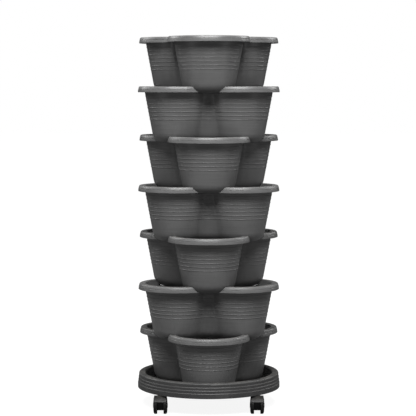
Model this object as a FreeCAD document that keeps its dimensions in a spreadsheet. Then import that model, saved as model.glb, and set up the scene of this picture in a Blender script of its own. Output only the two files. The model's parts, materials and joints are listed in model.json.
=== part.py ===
"""Stacked planter tower: three-lobed pots on a round rolling saucer with four twin-wheel casters.

Origin on the tower's axis at the level of the floor, +Z up, -Y to the front. Lengths in millimetres.
"""

import FreeCAD
import Part
import Sketcher
import math
import os
import re

# Driving dimensions, each in millimetres unless its note says otherwise.
dimensions = {
    # the stack
    "tierCount": 7,  # pots, a number
    "tierTurn": 60,  # degrees between one tier and the next
    "nestDepth": 16.5,  # how far a pot stands inside the rim of the one below
    "seatGap": 0.3,  # air under a resting pot
    # pot, measured at its rim
    "lobeOffset": 80,  # pot axis to the axis of a planting lobe
    "lobeRadius": 82,
    "potHeight": 131,
    "wallDraft": 10.5,  # degrees
    "potWall": 2.5,
    "bowlRound": 28,  # rounding from the wall into the floor
    # lip round the rim
    "lipReach": 13.6,  # overhang past the wall
    "lipNotchRadius": 3,  # inner corner of the lip between two lobes
    "lipHeight": 13.5,
    "lipBandHeight": 6.5,  # lower, upright part of the lip
    "lipStep": 0.7,  # ledge between the lip's two bands
    "lipSlope": 12,  # degrees, upper band
    "lipRound": 2.4,
    "lipWall": 2.2,
    # ribs on the pot's wall
    "ribCount": 7,  # a number
    "ribStart": 54,  # lowest rib above the pot's floor
    "ribPitch": 8.8,
    "ribHeight": 2.4,
    "ribRelief": 0.9,
    # seat for the tier above
    "saddleGap": 2,  # air round the upper pot's lobe
    "ledgeWidth": 12,
    "ledgeThickness": 3,
    "ledgeSpread": 76,  # degrees round the notch
    # drain holes, four in each lobe
    "drainRadius": 3.5,
    "drainInner": 48,  # pot axis to the inner pair
    "drainOuter": 66,
    "drainSide": 11,  # lobe's middle line to a hole
    # saucer
    "skirtLevel": 43,  # floor to the saucer's lower edge
    "trayRadius": 168.5,
    "trayHeight": 35,
    "trayWall": 2.5,
    "skirtStepCount": 3,  # a number
    "skirtStepFoot": 10.5,  # height of the lowest step
    "skirtStepRise": 7,
    "skirtStepDepth": 0.9,
    "skirtStepSlope": 1.4,
    "rimWidth": 15.5,
    "rimRound": 3.6,
    "basinFall": 4.5,  # how far the basin's wall leans in
    "basinRound": 6,
    "basinLevel": 5.5,  # basin floor above the saucer's lower edge
    "underRibCount": 8,  # a number
    "underRibDepth": 5,
    "underRibWidth": 2.4,
    "underRingInner": 30,
    "underRingOuter": 110,
    # caster sockets in the saucer's hollow rim
    "casterCount": 4,  # a number
    "casterInset": 10.5,  # saucer's outer edge to a swivel axis
    "socketRadius": 7,
    "socketLift": 3,  # socket's face above the saucer's lower edge
    # caster stem and its two rings
    "stemRadius": 4.5,
    "stemHeight": 23,
    "stemGap": 0.4,  # stem to socket, taken up by the grip ring
    "stemChamfer": 1,
    "gripRingDepth": 0.6,  # groove in the stem
    "gripRingHeight": 4,
    "gripRingDrop": 5,  # stem's end to the ring
    "ringGap": 0.05,
    "ringSlit": 30,  # degrees
    "collarRadius": 6.8,
    "collarHeight": 2.2,
    "swivelRadius": 4,
    "swivelGap": 0.06,  # radial running clearance
    "faceGap": 0.4,  # air between faces that turn on each other
    "snapRingHeight": 1.2,
    "snapRingRadius": 5.2,
    "pinEnd": 1.6,  # pin below the snap ring
    # twin wheels on their axle
    "wheelRadius": 20,
    "wheelWidth": 9.5,
    "wheelSpacing": 15,  # inner face to inner face
    "wheelShoulder": 3,
    "wheelInnerRound": 1,
    "wheelRim": 3.4,
    "wheelRecess": 1.6,
    "hubRadius": 5.5,
    "trail": 10,  # swivel axis to axle
    "axleRadius": 3,
    "axleGap": 0.05,  # radial running clearance
    "axleCover": 2.2,  # wheel's skin over the axle's end
    "axleChamfer": 0.6,
    # caster hood
    "hoodGap": 0.8,  # tread to fender
    "hoodWall": 1.5,
    "hoodFoot": 12,  # lower end of the web, below the axle
    "hoodSpread": 62,  # degrees, half the fender's arc
    "hoodRound": 1,
    "bossRadius": 7,
    "bossFoot": 6,  # boss's lower end above the axle
}

modelName = "planter_tower"
outputFolder = "parts"

document = FreeCAD.newDocument(modelName)
sheet = document.addObject("Spreadsheet::Sheet", "sizes")
for row, (name, value) in enumerate(dimensions.items(), start=1):
    sheet.set(f"A{row}", name)
    sheet.set(f"B{row}", str(value))
    sheet.setAlias(f"B{row}", name)
document.recompute()

aliasPattern = re.compile(r"\b(" + "|".join(dimensions) + r")\b")
upAxis = FreeCAD.Vector(0, 0, 1)


def linked(text):
    """Expression in which each dimension's name refers to its cell."""
    return aliasPattern.sub(r"<<sizes>>.\1", str(text))


def measure(text):
    """Present value of an expression."""
    return float(sheet.evalExpression(linked(text)))


# Lengths that follow from the driving dimensions.
notchRadius = "(lipNotchRadius + lipReach)"
wallLean = "(potHeight * tan(wallDraft))"
sideWall = "(potWall / cos(wallDraft))"
baseLobe = f"(lobeRadius - {wallLean})"
baseNotch = f"({notchRadius} + {wallLean})"
notchOffset = f"(lobeOffset / 2 + sqrt((lobeRadius + {notchRadius}) ^ 2 - (lobeOffset * sin(60)) ^ 2))"
bowlCentre = f"({baseLobe} - bowlRound * tan((90 - wallDraft) / 2))"
seatLevel = "(potHeight - nestDepth)"
lipFoot = "(potHeight - lipHeight)"
trayTop = "(trayRadius - skirtStepCount * skirtStepDepth)"
basinRadius = f"({trayTop} - rimWidth)"
basinFoot = f"({basinRadius} - basinFall)"
casterTurn = "(180 / casterCount)"
casterCircle = "(trayRadius - casterInset)"
socketFace = "(skirtLevel + socketLift)"
snapRingTop = "(wheelRadius + bossFoot - faceGap)"
pinFoot = f"({snapRingTop} - snapRingHeight - pinEnd)"
hoodOuter = "(wheelRadius + hoodGap + hoodWall)"
hoodHalfWidth = "(wheelSpacing / 2 + wheelWidth)"
axleHalfLength = f"({hoodHalfWidth} - axleCover - faceGap)"


def newBody(label):
    body = document.addObject("PartDesign::Body", label)
    body.Label = label
    return body


def originItem(body, role):
    return next(item for item in body.Origin.OriginFeatures if item.Role == role)


def newSketch(body, name, role="XY_Plane", level="0"):
    """Sketch on one of the body's origin planes, moved off along the plane's normal."""
    sketch = body.newObject("Sketcher::SketchObject", f"{body.Name}_{name}")
    sketch.AttachmentSupport = [(originItem(body, role), "")]
    sketch.MapMode = "FlatFace"
    sketch.setExpression("AttachmentOffset.Base.z", linked(level))
    return sketch


def constrain(sketch, kind, *where, expression):
    """Length in a sketch that follows an expression."""
    index = sketch.addConstraint(Sketcher.Constraint(kind, *where, measure(expression)))
    sketch.setExpression(f"Constraints[{index}]", linked(expression))


def constrainTurn(sketch, line, expression):
    """Direction of a line, in degrees from the sketch's X axis, that follows an expression."""
    angle = math.radians(measure(expression))
    index = sketch.addConstraint(Sketcher.Constraint("Angle", line, angle))
    sketch.setExpression(f"Constraints[{index}]", linked(f"({expression}) * 1 deg"))


def relate(sketch, kind, *where):
    sketch.addConstraint(Sketcher.Constraint(kind, *where))


def place(sketch, geometry, point, x, y):
    constrain(sketch, "DistanceX", -1, 1, geometry, point, expression=x)
    constrain(sketch, "DistanceY", -1, 1, geometry, point, expression=y)


def addLine(sketch, start, end, construction=False):
    return sketch.addGeometry(Part.LineSegment(start, end), construction)


def addArc(sketch, centre, radius, start, end):
    return sketch.addGeometry(Part.ArcOfCircle(Part.Circle(centre, upAxis, radius), start, end))


def polar(radius, angle, centre=FreeCAD.Vector(0, 0, 0)):
    return centre + FreeCAD.Vector(radius * math.cos(angle), radius * math.sin(angle), 0)


def headingOf(vector):
    return math.atan2(vector.y, vector.x)


def addCircle(sketch, x, y, radius):
    centre = FreeCAD.Vector(measure(x), measure(y), 0)
    circle = sketch.addGeometry(Part.Circle(centre, upAxis, measure(radius)))
    place(sketch, circle, 3, x, y)
    constrain(sketch, "Radius", circle, expression=radius)


def addTrefoil(sketch, lobe, notch):
    """Closed outline of three lobes about the axis, joined by three concave notches, all tangent."""
    offset = measure("lobeOffset")
    lobeSize = measure(lobe)
    notchSize = measure(notch)
    acrossNotch = offset * math.sin(math.radians(60))
    alongNotch = math.sqrt((lobeSize + notchSize) ** 2 - acrossNotch**2)
    lean = math.atan2(acrossNotch, alongNotch)
    halfLobe = math.radians(60) + lean
    arcs = []
    spokes = []
    for index in range(3):
        lobeTurn = math.radians(120 * index - 90)
        lobeCentre = polar(offset, lobeTurn)
        arcs.append(addArc(sketch, lobeCentre, lobeSize, lobeTurn - halfLobe, lobeTurn + halfLobe))
        notchTurn = lobeTurn + math.radians(60)
        notchCentre = polar(offset / 2 + alongNotch, notchTurn)
        inwards = notchTurn + math.pi
        arcs.append(addArc(sketch, notchCentre, notchSize, inwards - lean, inwards + lean))
        spokes.append(addLine(sketch, FreeCAD.Vector(0, 0, 0), lobeCentre, construction=True))
    for index, spoke in enumerate(spokes):
        relate(sketch, "Coincident", spoke, 1, -1, 1)
        relate(sketch, "Coincident", spoke, 2, arcs[2 * index], 3)
    relate(sketch, "Vertical", spokes[0])
    constrain(sketch, "Distance", spokes[0], expression="lobeOffset")
    for before, after in zip(spokes, spokes[1:]):
        relate(sketch, "Equal", before, after)
        sketch.addConstraint(Sketcher.Constraint("Angle", before, 1, after, 1, math.radians(120)))
    constrain(sketch, "Radius", arcs[0], expression=lobe)
    constrain(sketch, "Radius", arcs[1], expression=notch)
    for index in (2, 4):
        relate(sketch, "Equal", arcs[0], arcs[index])
        relate(sketch, "Equal", arcs[1], arcs[index + 1])
    for index, arc in enumerate(arcs):
        end = 2 if index % 2 == 0 else 1
        relate(sketch, "Tangent", arc, end, arcs[(index + 1) % 6], end)


def addProfile(sketch, corners):
    """Closed profile through corners (x, y) or, where one is rounded, (x, y, radius)."""
    count = len(corners)
    points = [FreeCAD.Vector(measure(corner[0]), measure(corner[1]), 0) for corner in corners]
    ends = list(points)
    starts = list(points)
    centres = [None] * count
    for index, corner in enumerate(corners):
        if len(corner) == 3:
            toBefore = (points[index - 1] - points[index]).normalize()
            toAfter = (points[(index + 1) % count] - points[index]).normalize()
            half = toBefore.getAngle(toAfter) / 2
            radius = measure(corner[2])
            ends[index] = points[index] + toBefore * (radius / math.tan(half))
            starts[index] = points[index] + toAfter * (radius / math.tan(half))
            centres[index] = points[index] + (toBefore + toAfter).normalize() * (radius / math.sin(half))
    lines = [addLine(sketch, starts[index], ends[(index + 1) % count]) for index in range(count)]
    for index, corner in enumerate(corners):
        before = lines[index - 1]
        after = lines[index]
        centre = centres[index]
        if centre is None:
            relate(sketch, "Coincident", before, 2, after, 1)
            place(sketch, after, 1, corner[0], corner[1])
            continue
        first = ends[index] - centre
        last = starts[index] - centre
        if first.cross(last).z > 0:
            arc = addArc(sketch, centre, first.Length, headingOf(first), headingOf(last))
            firstPoint, lastPoint = 1, 2
        else:
            arc = addArc(sketch, centre, first.Length, headingOf(last), headingOf(first))
            firstPoint, lastPoint = 2, 1
        relate(sketch, "Tangent", before, 2, arc, firstPoint)
        relate(sketch, "Tangent", after, 1, arc, lastPoint)
        constrain(sketch, "Radius", arc, expression=corner[2])
        mark = sketch.addGeometry(Part.Point(points[index]), True)
        place(sketch, mark, 1, corner[0], corner[1])
        relate(sketch, "PointOnObject", mark, 1, before)
        relate(sketch, "PointOnObject", mark, 1, after)


def addBandSector(sketch, centreX, centreY, inner, outer, fromTurn, toTurn):
    """Piece of a ring between two radii and two directions, counted anticlockwise."""
    centre = FreeCAD.Vector(measure(centreX), measure(centreY), 0)
    innerSize = measure(inner)
    outerSize = measure(outer)
    start = math.radians(measure(fromTurn))
    end = math.radians(measure(toTurn))
    innerArc = addArc(sketch, centre, innerSize, start, end)
    outerArc = addArc(sketch, centre, outerSize, start, end)
    place(sketch, innerArc, 3, centreX, centreY)
    relate(sketch, "Coincident", innerArc, 3, outerArc, 3)
    constrain(sketch, "Radius", innerArc, expression=inner)
    constrain(sketch, "Radius", outerArc, expression=outer)
    for arcEnd, turn, expression in ((1, start, fromTurn), (2, end, toTurn)):
        line = addLine(sketch, polar(innerSize, turn, centre), polar(outerSize, turn, centre))
        relate(sketch, "Coincident", line, 1, innerArc, arcEnd)
        relate(sketch, "Coincident", line, 2, outerArc, arcEnd)
        relate(sketch, "PointOnObject", innerArc, 3, line)
        constrainTurn(sketch, line, expression)


def addPad(body, sketch, length, taper="0", midplane=False, downwards=False):
    pad = body.newObject("PartDesign::Pad", f"{sketch.Name}_pad")
    pad.Profile = sketch
    pad.setExpression("Length", linked(length))
    pad.setExpression("TaperAngle", linked(taper))
    pad.Midplane = midplane
    pad.Reversed = downwards
    return pad


def addPocket(body, sketch, length, taper="0", midplane=False, upwards=False):
    """Cut against the sketch's normal, or along it where upwards is set."""
    pocket = body.newObject("PartDesign::Pocket", f"{sketch.Name}_pocket")
    pocket.Profile = sketch
    pocket.setExpression("Length", linked(length))
    pocket.setExpression("TaperAngle", linked(taper))
    pocket.Midplane = midplane
    pocket.Reversed = upwards
    return pocket


def addRevolution(body, sketch, axis):
    revolution = body.newObject("PartDesign::Revolution", f"{sketch.Name}_turned")
    revolution.Profile = sketch
    revolution.ReferenceAxis = (sketch, [axis])
    revolution.Angle = 360
    return revolution


def addRing(body, feature, count):
    """The feature repeated evenly about the body's vertical axis."""
    pattern = body.newObject("PartDesign::PolarPattern", f"{feature.Name}_ring")
    pattern.Originals = [feature]
    pattern.Axis = (originItem(body, "Z_Axis"), [""])
    pattern.Angle = 360
    pattern.setExpression("Occurrences", linked(count))
    body.Tip = pattern
    return pattern


def addRounding(body, radius, isRounded):
    """Fillet on every edge of the body's present shape for which isRounded(edge) is true."""
    document.recompute()
    base = body.Tip
    names = [f"Edge{index}" for index, edge in enumerate(base.Shape.Edges, start=1) if isRounded(edge)]
    fillet = body.newObject("PartDesign::Fillet", f"{base.Name}_round")
    fillet.Base = (base, names)
    fillet.setExpression("Radius", linked(radius))
    return fillet


def liesAt(level):
    """Test for edges that lie wholly in one horizontal plane."""
    height = measure(level)

    def isLevel(edge):
        box = edge.BoundBox
        return abs(box.ZMin - height) < 0.01 and abs(box.ZMax - height) < 0.01

    return isLevel


def addCopy(form, label):
    """Body with the shape of another body and a place of its own."""
    body = newBody(label)
    copy = document.addObject("PartDesign::FeatureBase", f"{label}_form")
    body.Group = [copy]
    body.Tip = copy
    copy.BaseFeature = form
    return body


def buildPot():
    """Three-lobed pot with an unbroken rim, its floor at z = 0 and one lobe to the front."""
    body = newBody("pot")
    addLip(body)
    addBowl(body)
    addDrainHoles(body)
    return body


def buildStackingPot(pot):
    """The same pot with a seat for the pot above it."""
    body = addCopy(pot, "stacking_pot")
    addSeat(body)
    return body


def addLip(body):
    """Upright band with a sloping band above it, hollow underneath."""
    band = newSketch(body, "lip_band", level=lipFoot)
    addTrefoil(band, "lobeRadius + lipReach", "lipNotchRadius")
    addPad(body, band, "lipBandHeight")
    crown = newSketch(body, "lip_crown", level=f"{lipFoot} + lipBandHeight")
    addTrefoil(crown, "lobeRadius + lipReach - lipStep", "lipNotchRadius + lipStep")
    addPad(body, crown, "lipHeight - lipBandHeight", taper="-lipSlope")
    addRounding(body, "lipRound", liesAt("potHeight"))
    hollow = newSketch(body, "lip_hollow", level=lipFoot)
    addTrefoil(hollow, "lobeRadius + lipReach - lipWall", "lipNotchRadius + lipWall")
    hollowLean = "atan(((lipHeight - lipBandHeight - lipWall) * tan(lipSlope) + lipStep) / (lipHeight - lipWall))"
    addPocket(body, hollow, "lipHeight - lipWall", taper=f"-1 * {hollowLean}", upwards=True)


def addBowl(body):
    """Ribbed, drafted wall, hollow inside, with a wide rounding into a flat floor."""
    wall = newSketch(body, "wall")
    addTrefoil(wall, baseLobe, baseNotch)
    addPad(body, wall, "potHeight", taper="wallDraft")
    for index in range(dimensions["ribCount"]):
        level = f"(ribStart + ribPitch * {index})"
        growth = f"({level} * tan(wallDraft) + ribRelief)"
        rib = newSketch(body, f"rib_{index + 1}", level=level)
        addTrefoil(rib, f"{baseLobe} + {growth}", f"{baseNotch} - {growth}")
        addPad(body, rib, "ribHeight", taper="wallDraft")
    inside = newSketch(body, "inside", level="potHeight")
    addTrefoil(inside, f"lobeRadius - {sideWall}", f"{notchRadius} + {sideWall}")
    addPocket(body, inside, "potHeight - potWall", taper="-wallDraft")
    addRounding(body, "bowlRound - potWall", liesAt("potWall"))
    addRounding(body, "bowlRound", liesAt("0"))


def addSeat(body):
    """Saddles cut over the notches to the shape of the lobes above, and ledges that carry those lobes."""
    saddle = newSketch(body, "saddle", role="YZ_Plane")
    addSaddleProfile(saddle)
    groove = body.newObject("PartDesign::Groove", f"{saddle.Name}_groove")
    groove.Profile = saddle
    groove.ReferenceAxis = (saddle, ["Axis0"])
    groove.Angle = 360
    addRing(body, groove, 3)
    ledge = newSketch(body, "ledge", level=f"{seatLevel} - ledgeThickness")
    inWall = f"({notchRadius} + (nestDepth + ledgeThickness) * tan(wallDraft) + {sideWall} / 2)"
    fromTurn = "-90 - ledgeSpread / 2"
    toTurn = "-90 + ledgeSpread / 2"
    addBandSector(ledge, "0", notchOffset, inWall, f"{inWall} + ledgeWidth", fromTurn, toTurn)
    addRing(body, addPad(body, ledge, "ledgeThickness"), 3)


def addSaddleProfile(sketch):
    """Half section of a lobe of the pot above, grown by the saddle's gap, about the lobe's own axis."""
    centreX = f"(lobeOffset + {bowlCentre})"
    centreY = f"({seatLevel} + seatGap + bowlRound)"
    radius = "(bowlRound + saddleGap)"
    top = f"({seatLevel} + nestDepth + bowlRound)"
    centre = FreeCAD.Vector(measure(centreX), measure(centreY), 0)
    size = measure(radius)
    draft = math.radians(measure("wallDraft"))
    floorLevel = measure(seatLevel)
    topLevel = measure(top)
    axisX = measure("lobeOffset")
    foot = FreeCAD.Vector(centre.x + math.sqrt(size**2 - (centre.y - floorLevel) ** 2), floorLevel, 0)
    bowlEnd = polar(size, -draft, centre)
    shoulder = FreeCAD.Vector(bowlEnd.x + (topLevel - bowlEnd.y) * math.tan(draft), topLevel, 0)
    axisFoot = FreeCAD.Vector(axisX, floorLevel, 0)
    axisTop = FreeCAD.Vector(axisX, topLevel, 0)
    axis = addLine(sketch, axisFoot, axisTop, construction=True)
    floor = addLine(sketch, axisFoot, foot)
    bowl = addArc(sketch, centre, size, headingOf(foot - centre), -draft)
    side = addLine(sketch, bowlEnd, shoulder)
    cap = addLine(sketch, shoulder, axisTop)
    back = addLine(sketch, axisTop, axisFoot)
    place(sketch, axis, 1, "lobeOffset", seatLevel)
    place(sketch, axis, 2, "lobeOffset", top)
    relate(sketch, "Coincident", axis, 1, floor, 1)
    relate(sketch, "Horizontal", floor)
    relate(sketch, "Coincident", floor, 2, bowl, 1)
    place(sketch, bowl, 3, centreX, centreY)
    constrain(sketch, "Radius", bowl, expression=radius)
    relate(sketch, "Tangent", bowl, 2, side, 1)
    constrainTurn(sketch, side, "90 - wallDraft")
    relate(sketch, "Coincident", side, 2, cap, 1)
    relate(sketch, "Horizontal", cap)
    relate(sketch, "Coincident", cap, 2, axis, 2)
    relate(sketch, "Coincident", back, 1, axis, 2)
    relate(sketch, "Coincident", back, 2, axis, 1)


def addDrainHoles(body):
    drain = newSketch(body, "drain")
    for side in ("drainSide", "-drainSide"):
        for distance in ("-drainInner", "-drainOuter"):
            addCircle(drain, side, distance, "drainRadius")
    addRing(body, addPocket(body, drain, "potWall * 2", upwards=True), 3)


def buildTray():
    """Saucer with a hollow rim, a stepped skirt and caster sockets, its lower edge at z = 0."""
    body = newBody("rolling_tray")
    section = newSketch(body, "section", role="XZ_Plane")
    wallTop = "(trayHeight - trayWall)"
    corners = [
        ("0", "basinLevel"),
        ("0", "basinLevel - trayWall"),
        (f"{basinFoot} + trayWall", "basinLevel - trayWall", "basinRound + trayWall"),
        (f"{basinRadius} + trayWall", wallTop),
        (f"{trayTop} - trayWall", wallTop),
        ("trayRadius - trayWall", "0"),
        ("trayRadius", "0"),
    ]
    for step in range(dimensions["skirtStepCount"]):
        stepLevel = f"skirtStepFoot + skirtStepRise * {step}"
        corners.append((f"trayRadius - skirtStepDepth * {step}", stepLevel))
        corners.append((f"trayRadius - skirtStepDepth * {step + 1}", f"{stepLevel} + skirtStepSlope"))
    corners.append((trayTop, "trayHeight", "rimRound"))
    corners.append((basinRadius, "trayHeight", "rimRound"))
    corners.append((basinFoot, "basinLevel", "basinRound"))
    addProfile(section, corners)
    addRevolution(body, section, "V_Axis")
    addTrayRibs(body)
    addCasterSockets(body)
    body.setExpression("Placement.Base.z", linked("skirtLevel"))
    return body


def addRadialRib(sketch, inner, outer, width):
    half = f"{width} / 2"
    corners = [(f"-{half}", f"-{outer}"), (half, f"-{outer}"), (half, f"-{inner}"), (f"-{half}", f"-{inner}")]
    addProfile(sketch, corners)


def addTrayRibs(body):
    """Stiffening ribs and rings below the basin's floor."""
    under = newSketch(body, "under_rib", level="basinLevel - trayWall")
    halfRing = "underRibWidth / 2"
    addRadialRib(under, f"(underRingInner - {halfRing})", f"(underRingOuter - {halfRing})", "underRibWidth")
    addRing(body, addPad(body, under, "underRibDepth", downwards=True), "underRibCount")
    rings = newSketch(body, "under_rings", level="basinLevel - trayWall")
    for radius in ("underRingInner", "underRingOuter"):
        addCircle(rings, "0", "0", radius)
        addCircle(rings, "0", "0", f"{radius} - underRibWidth")
    addPad(body, rings, "underRibDepth", downwards=True)


def addCasterSockets(body):
    x = f"{casterCircle} * sin({casterTurn})"
    y = f"-1 * {casterCircle} * cos({casterTurn})"
    post = newSketch(body, "socket", level="socketLift")
    addCircle(post, x, y, "socketRadius")
    addRing(body, addPad(body, post, "trayHeight - trayWall - socketLift"), "casterCount")
    bore = newSketch(body, "socket_bore", level="socketLift")
    addCircle(bore, x, y, "stemRadius + stemGap")
    addRing(body, addPocket(body, bore, "stemHeight + stemChamfer", upwards=True), "casterCount")


def buildStem():
    """Pin whose upper half sits in the saucer's socket and whose lower half carries the hood."""
    body = newBody("stem")
    section = newSketch(body, "section", role="XZ_Plane")
    top = f"({socketFace} + stemHeight)"
    ringTop = f"({top} - gripRingDrop)"
    ringFoot = f"({ringTop} - gripRingHeight - ringGap * 2)"
    ringBed = "stemRadius - gripRingDepth"
    snapTop = f"({snapRingTop} + ringGap)"
    snapFoot = f"({snapRingTop} - snapRingHeight - ringGap)"
    snapBed = "swivelRadius - gripRingDepth"
    corners = [
        ("0", top),
        ("stemRadius - stemChamfer", top),
        ("stemRadius", f"{top} - stemChamfer"),
        ("stemRadius", ringTop),
        (ringBed, ringTop),
        (ringBed, ringFoot),
        ("stemRadius", ringFoot),
        ("stemRadius", socketFace),
        ("collarRadius", socketFace),
        ("collarRadius", f"{socketFace} - collarHeight"),
        ("swivelRadius", f"{socketFace} - collarHeight"),
        ("swivelRadius", snapTop),
        (snapBed, snapTop),
        (snapBed, snapFoot),
        ("swivelRadius", snapFoot),
        ("swivelRadius", f"{pinFoot} + axleChamfer"),
        ("swivelRadius - axleChamfer", pinFoot),
        ("0", pinFoot),
    ]
    addProfile(section, corners)
    addRevolution(body, section, "V_Axis")
    return body


def buildSplitRing(label, level, height, inner, outer):
    """Sprung ring with a slit to the front."""
    body = newBody(label)
    band = newSketch(body, "band", level=level)
    addBandSector(band, "0", "0", inner, outer, "ringSlit / 2 - 90", "270 - ringSlit / 2")
    addPad(body, band, height)
    return body


def buildGripRing():
    level = f"{socketFace} + stemHeight - gripRingDrop - gripRingHeight - ringGap"
    inner = "stemRadius - gripRingDepth + ringGap"
    outer = "stemRadius + stemGap - ringGap"
    return buildSplitRing("grip_ring", level, "gripRingHeight", inner, outer)


def buildSnapRing():
    level = f"{snapRingTop} - snapRingHeight"
    inner = "swivelRadius - gripRingDepth + ringGap"
    return buildSplitRing("snap_ring", level, "snapRingHeight", inner, "snapRingRadius")


def buildHood():
    """Web between the wheels with a fender over them and a boss that turns on the stem."""
    body = newBody("hood")
    web = newSketch(body, "web", role="YZ_Plane")
    addWebOutline(web)
    addPad(body, web, "wheelSpacing - faceGap * 2", midplane=True)
    fender = newSketch(body, "fender", role="YZ_Plane")
    inner = "wheelRadius + hoodGap"
    addBandSector(fender, "-trail", "wheelRadius", inner, hoodOuter, "90 - hoodSpread", "90 + hoodSpread")
    addPad(body, fender, f"{hoodHalfWidth} * 2", midplane=True)
    addRounding(body, "hoodRound", isFenderRim)
    boss = newSketch(body, "boss", level="wheelRadius + bossFoot")
    addCircle(boss, "0", "0", "bossRadius")
    bossTop = f"({socketFace} - collarHeight - faceGap)"
    addPad(body, boss, f"{bossTop} - wheelRadius - bossFoot")
    swivel = newSketch(body, "swivel", level=bossTop)
    addCircle(swivel, "0", "0", "swivelRadius + swivelGap")
    addPocket(body, swivel, bossTop)
    cavity = newSketch(body, "ring_cavity", level="wheelRadius + bossFoot")
    addCircle(cavity, "0", "0", "snapRingRadius + faceGap")
    addPocket(body, cavity, "wheelRadius + bossFoot")
    bore = newSketch(body, "axle_bore", role="YZ_Plane")
    addCircle(bore, "-trail", "wheelRadius", "axleRadius")
    addPocket(body, bore, "wheelSpacing * 2", midplane=True)
    return body


def isFenderRim(edge):
    """The fender's outer long edges, on its two sides."""
    box = edge.BoundBox
    atSide = abs(abs(box.XMin) - measure(hoodHalfWidth)) < 0.01 and box.XLength < 0.01
    return atSide and abs(box.ZMax - measure(f"wheelRadius + {hoodOuter}")) < 0.01


def addWebOutline(sketch):
    """Side view of the web: the fender's arc on top, a smaller arc below the axle and straight sides."""
    centre = FreeCAD.Vector(-measure("trail"), measure("wheelRadius"), 0)
    topSize = measure(hoodOuter)
    footSize = measure("hoodFoot")
    sideways = math.pi / 2
    spread = math.radians(measure("hoodSpread"))
    reach = spread + math.acos(footSize / topSize)
    top = addArc(sketch, centre, topSize, sideways - spread, sideways + spread)
    foot = addArc(sketch, centre, footSize, sideways + reach, sideways - reach + 2 * math.pi)
    place(sketch, top, 3, "-trail", "wheelRadius")
    relate(sketch, "Coincident", foot, 3, top, 3)
    constrain(sketch, "Radius", top, expression=hoodOuter)
    constrain(sketch, "Radius", foot, expression="hoodFoot")
    for topEnd, footEnd, topTurn, footTurn in ((1, 2, -spread, -reach), (2, 1, spread, reach)):
        upper = polar(topSize, sideways + topTurn, centre)
        lower = polar(footSize, sideways + footTurn, centre)
        side = addLine(sketch, upper, lower)
        relate(sketch, "Coincident", side, 1, top, topEnd)
        relate(sketch, "Tangent", side, 2, foot, footEnd)
        endLevel = f"wheelRadius + {hoodOuter} * cos(hoodSpread)"
        constrain(sketch, "DistanceY", -1, 1, top, topEnd, expression=endLevel)


def newAxleSketch(body):
    """Sketch in the upright plane through the axle, whose first axis is the axle's own."""
    sketch = newSketch(body, "section", role="XZ_Plane", level="trail")
    height = measure("wheelRadius")
    line = addLine(sketch, FreeCAD.Vector(0, height, 0), FreeCAD.Vector(height, height, 0), construction=True)
    place(sketch, line, 1, "0", "wheelRadius")
    place(sketch, line, 2, "wheelRadius", "wheelRadius")
    return sketch


def addAxleProfile(sketch, corners, side=1):
    """Profile through corners given along the axle and by their distance from it."""
    placed = []
    for along, distance, *rounding in corners:
        placed.append((f"({along}) * {side}", f"wheelRadius + {distance}", *rounding))
    addProfile(sketch, placed)


def buildAxle():
    body = newBody("axle")
    section = newAxleSketch(body)
    corners = [
        (f"-{axleHalfLength}", "0"),
        (axleHalfLength, "0"),
        (axleHalfLength, "axleRadius - axleChamfer"),
        (f"{axleHalfLength} - axleChamfer", "axleRadius"),
        (f"axleChamfer - {axleHalfLength}", "axleRadius"),
        (f"-{axleHalfLength}", "axleRadius - axleChamfer"),
    ]
    addAxleProfile(section, corners)
    addRevolution(body, section, "Axis0")
    return body


def buildWheel(label, side):
    """Wheel with a blind bore, dished outside between its rim and its hub."""
    body = newBody(label)
    section = newAxleSketch(body)
    inner = "wheelSpacing / 2"
    outer = hoodHalfWidth
    boreEnd = f"{outer} - axleCover"
    bore = "axleRadius + axleGap"
    corners = [
        (inner, bore),
        (inner, "wheelRadius", "wheelInnerRound"),
        (outer, "wheelRadius", "wheelShoulder"),
        (outer, "wheelRadius - wheelShoulder - wheelRim"),
        (f"{outer} - wheelRecess", "wheelRadius - wheelShoulder - wheelRim - wheelRecess"),
        (f"{outer} - wheelRecess", "hubRadius + wheelRecess"),
        (outer, "hubRadius"),
        (outer, "0"),
        (boreEnd, "0"),
        (boreEnd, bore),
    ]
    addAxleProfile(section, corners, side)
    addRevolution(body, section, "Axis0")
    return body


def addTier(form, tier):
    """Pot on the stack, every other one turned so that its lobes stand over the notches below."""
    body = addCopy(form, f"tier_{tier}_pot")
    stand = "skirtLevel + basinLevel + seatGap"
    body.setExpression("Placement.Base.z", linked(f"{stand} + (tierCount - {tier}) * ({seatLevel} + seatGap)"))
    body.Placement.Rotation.Axis = upAxis
    body.setExpression("Placement.Rotation.Angle", linked(f"tierTurn * {(tier + 1) % 2}"))
    return body


def addCasterPiece(form, index):
    """Copy of a caster's piece, which is drawn about its swivel axis, at its place under the saucer."""
    body = addCopy(form, f"caster_{index}_{form.Label}")
    turn = f"({casterTurn} * (2 * {index} - 1) - 90)"
    body.setExpression("Placement.Base.x", linked(f"{casterCircle} * cos({turn})"))
    body.setExpression("Placement.Base.y", linked(f"{casterCircle} * sin({turn})"))
    return body


def checkModel(pieces):
    """Stops if a feature failed or a piece isn't one valid solid."""
    for item in document.Objects:
        faults = [state for state in item.State if state in ("Invalid", "Error")]
        if faults:
            raise RuntimeError(f"{item.Label}: {faults}")
    for piece in pieces:
        shape = piece.Shape
        if shape.isNull() or not shape.isValid() or len(shape.Solids) != 1:
            raise RuntimeError(f"{piece.Label}: not one valid solid")


pot = buildPot()
stackingPot = buildStackingPot(pot)
casterForms = [buildStem(), buildGripRing(), buildSnapRing(), buildHood(), buildAxle()]
casterForms += [buildWheel("left_wheel", -1), buildWheel("right_wheel", 1)]

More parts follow.
